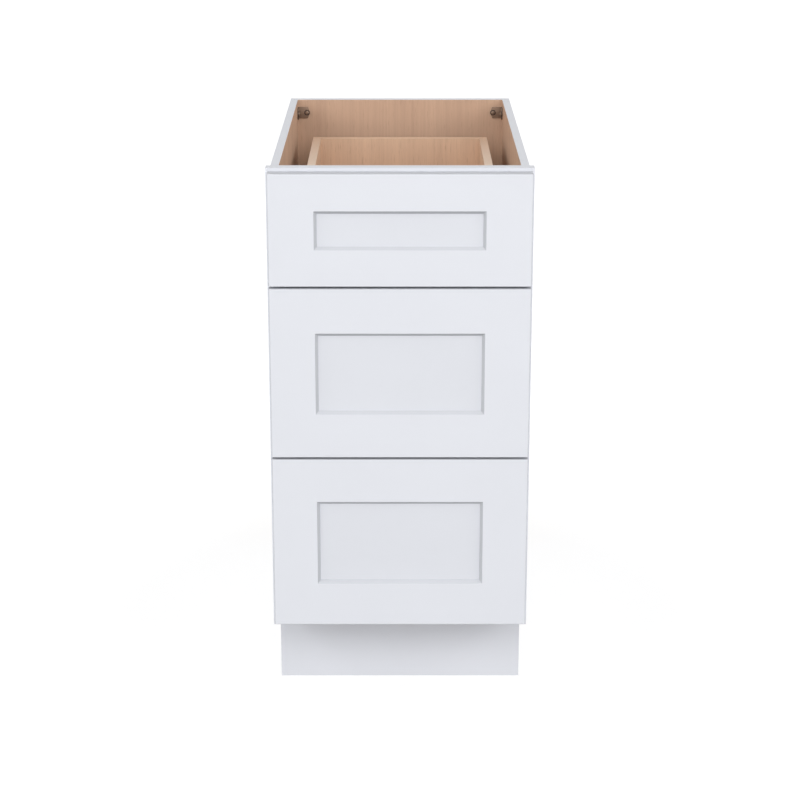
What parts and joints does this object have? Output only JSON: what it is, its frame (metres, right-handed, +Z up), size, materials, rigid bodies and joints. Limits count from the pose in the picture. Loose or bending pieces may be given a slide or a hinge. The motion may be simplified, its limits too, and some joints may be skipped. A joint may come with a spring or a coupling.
{
  "type": "vanity drawer base cabinet",
  "caption": "Face-frame bathroom vanity base with flat-panel drawer fronts, an open top for a counter, a toe kick and drawers on hidden full-extension slides.",
  "frame": {"origin": "middle of the footprint, on the floor", "axes": "+X across to the right as seen from the front, -Y out of the drawer fronts, +Z up"},
  "size_m": [0.381, 0.6302, 0.8128],
  "materials": {
    "white_paint": "white satin paint on wood",
    "white_panel": "plywood, white outside and wood veneer inside",
    "veneer_panel": "plywood with a plain wood veneer",
    "drawer_wood": "clear-coated wood",
    "zinc_steel": "zinc-plated steel",
    "dark_steel": "dark bronze lacquered steel",
    "latch_plastic": "grey moulded plastic",
    "bumper": "clear soft pads"
  },
  "bodies": {
    "cabinet": {"left_side_panel": "white_panel", "right_side_panel": "white_panel", "back_panel": "veneer_panel", "bottom_panel": "veneer_panel", "toe_kick_board": "white_panel", "left_frame_stile": "white_paint", "right_frame_stile": "white_paint", "top_frame_rail": "white_paint", "upper_frame_rail": "white_paint", "lower_frame_rail": "white_paint", "bottom_frame_rail": "white_paint", "corner_brackets": "dark_steel", "corner_bracket_screws": "dark_steel", "slide_rails": "zinc_steel", "slide_rear_brackets": "zinc_steel", "slide_screws": "zinc_steel", "front_bumpers": "bumper"},
    "top_drawer": {"top_front_left_stile": "white_paint", "top_front_right_stile": "white_paint", "top_front_top_rail": "white_paint", "top_front_bottom_rail": "white_paint", "top_front_panel": "white_paint", "top_box_left_side": "drawer_wood", "top_box_right_side": "drawer_wood", "top_box_front": "drawer_wood", "top_box_back": "drawer_wood", "top_box_bottom": "drawer_wood", "top_slide_runners": "zinc_steel", "top_latch_clips": "latch_plastic", "top_front_screws": "zinc_steel"},
    "top_carriages": {"top_slide_carriages": "zinc_steel"},
    "middle_drawer": {"middle_front_left_stile": "white_paint", "middle_front_right_stile": "white_paint", "middle_front_top_rail": "white_paint", "middle_front_bottom_rail": "white_paint", "middle_front_panel": "white_paint", "middle_box_left_side": "drawer_wood", "middle_box_right_side": "drawer_wood", "middle_box_front": "drawer_wood", "middle_box_back": "drawer_wood", "middle_box_bottom": "drawer_wood", "middle_slide_runners": "zinc_steel", "middle_latch_clips": "latch_plastic", "middle_front_screws": "zinc_steel"},
    "middle_carriages": {"middle_slide_carriages": "zinc_steel"},
    "bottom_drawer": {"bottom_front_left_stile": "white_paint", "bottom_front_right_stile": "white_paint", "bottom_front_top_rail": "white_paint", "bottom_front_bottom_rail": "white_paint", "bottom_front_panel": "white_paint", "bottom_box_left_side": "drawer_wood", "bottom_box_right_side": "drawer_wood", "bottom_box_front": "drawer_wood", "bottom_box_back": "drawer_wood", "bottom_box_bottom": "drawer_wood", "bottom_slide_runners": "zinc_steel", "bottom_latch_clips": "latch_plastic", "bottom_front_screws": "zinc_steel"},
    "bottom_carriages": {"bottom_slide_carriages": "zinc_steel"}
  },
  "joints": [
    {"name": "top_drawer_slide", "type": "slide", "parent": "cabinet", "child": "top_drawer", "axis": [0, -1, 0], "range_m": [0, 0.5]},
    {"name": "top_carriage_slide", "type": "slide", "parent": "cabinet", "child": "top_carriages", "axis": [0, -1, 0], "range_m": [0, 0.25]},
    {"name": "middle_drawer_slide", "type": "slide", "parent": "cabinet", "child": "middle_drawer", "axis": [0, -1, 0], "range_m": [0, 0.5]},
    {"name": "middle_carriage_slide", "type": "slide", "parent": "cabinet", "child": "middle_carriages", "axis": [0, -1, 0], "range_m": [0, 0.25]},
    {"name": "bottom_drawer_slide", "type": "slide", "parent": "cabinet", "child": "bottom_drawer", "axis": [0, -1, 0], "range_m": [0, 0.5]},
    {"name": "bottom_carriage_slide", "type": "slide", "parent": "cabinet", "child": "bottom_carriages", "axis": [0, -1, 0], "range_m": [0, 0.25]}
  ],
  "couplings": [
    {"joint": "top_carriage_slide", "follows": "top_drawer_slide", "ratio": 0.5},
    {"joint": "middle_carriage_slide", "follows": "middle_drawer_slide", "ratio": 0.5},
    {"joint": "bottom_carriage_slide", "follows": "bottom_drawer_slide", "ratio": 0.5}
  ]
}
